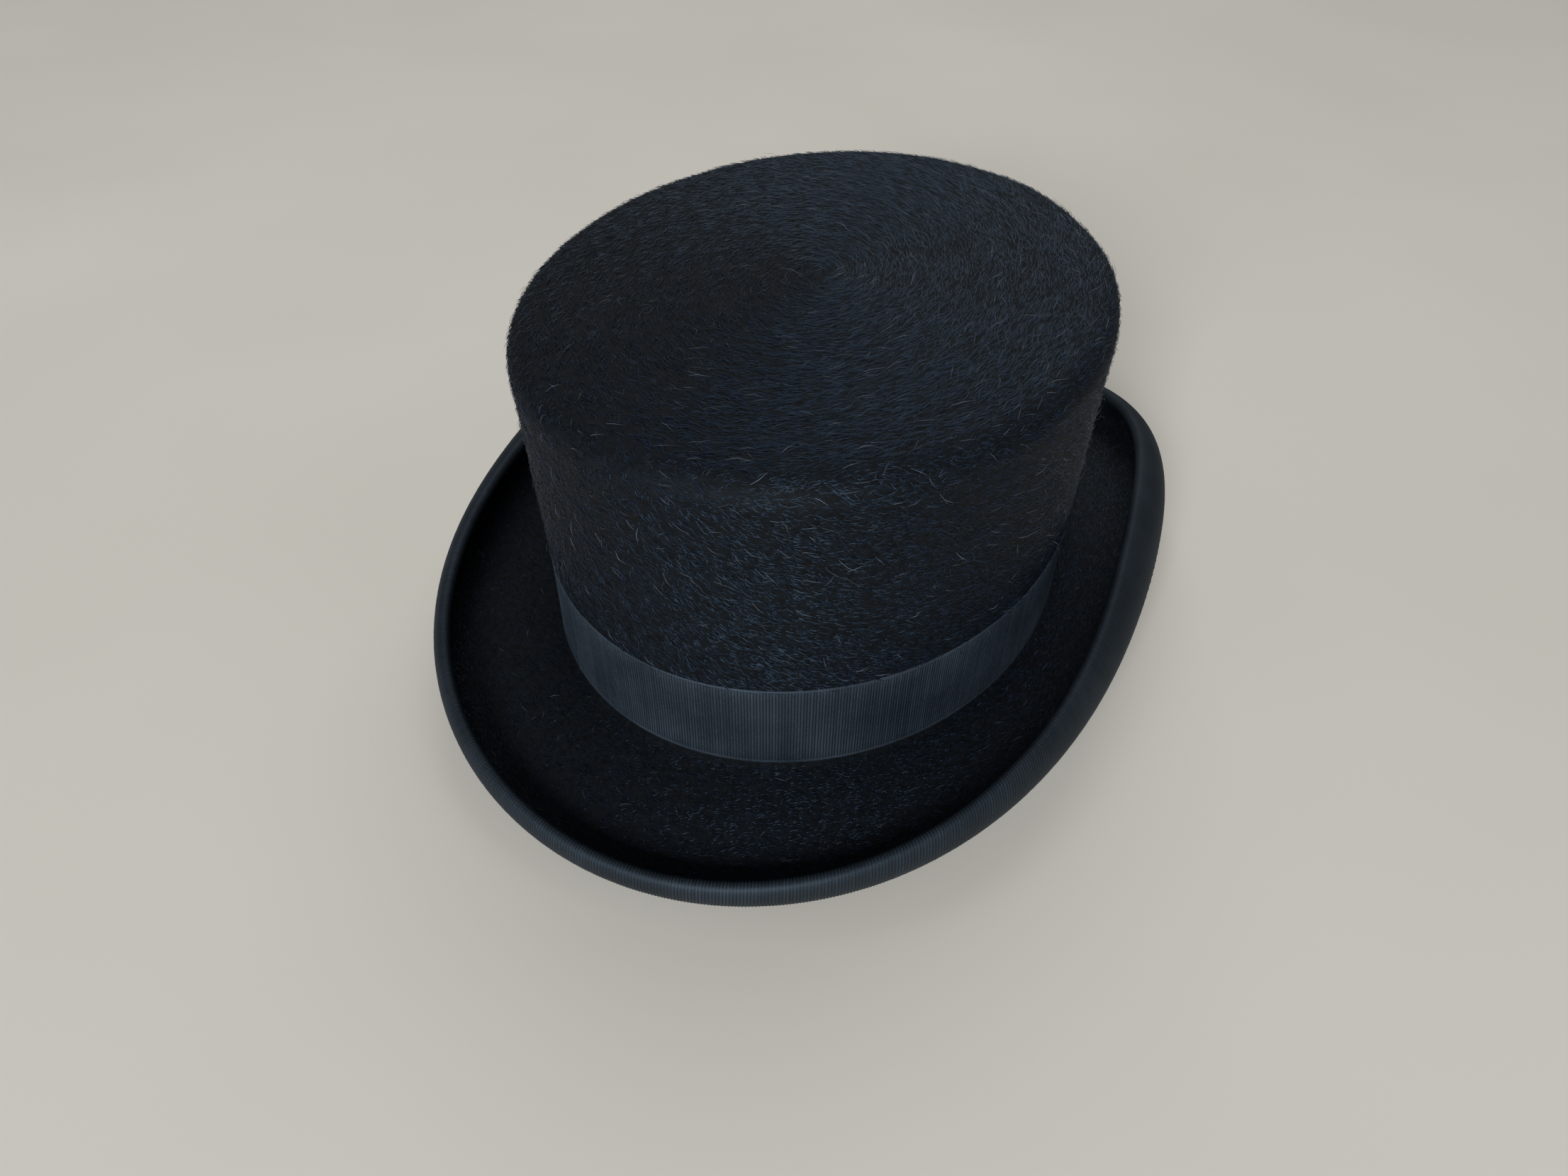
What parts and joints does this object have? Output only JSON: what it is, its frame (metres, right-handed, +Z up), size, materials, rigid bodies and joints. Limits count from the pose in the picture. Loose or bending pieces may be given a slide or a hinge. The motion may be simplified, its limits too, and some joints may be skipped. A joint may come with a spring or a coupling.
{
  "type": "top hat",
  "caption": "Rigid fur-felt top hat with a flared crown, rolled brim bound in ribbed ribbon, ribbon band with flat bow, satin lining and leather sweatband.",
  "frame": {"origin": "on the floor under the middle of the hat's outline, with the hat standing on the front and back of its brim", "axes": "+Z up towards the tip, front of the hat towards -Y, wearer's left towards +X"},
  "size_m": [0.2302, 0.3228, 0.1147],
  "materials": {
    "fur_felt": "long brushed nap",
    "ribbon": "ribbed, low sheen",
    "thread": "waxed thread",
    "leather": "smooth grain",
    "ticket": "matt paper",
    "satin": "satin"
  },
  "bodies": {
    "root": {"felt_body": "fur_felt", "brim_binding": "ribbon", "binding_stitches": "thread", "hat_band": "ribbon", "band_bow": "ribbon", "band_knot": "ribbon", "sweatband": "leather", "sweatband_tape": "ribbon", "sweatband_reed": "thread", "sweatband_stitches": "thread", "sweatband_bow": "ribbon", "size_ticket": "ticket", "lining_side": "satin", "lining_tip": "satin", "lining_piping": "satin"}
  },
  "joints": []
}
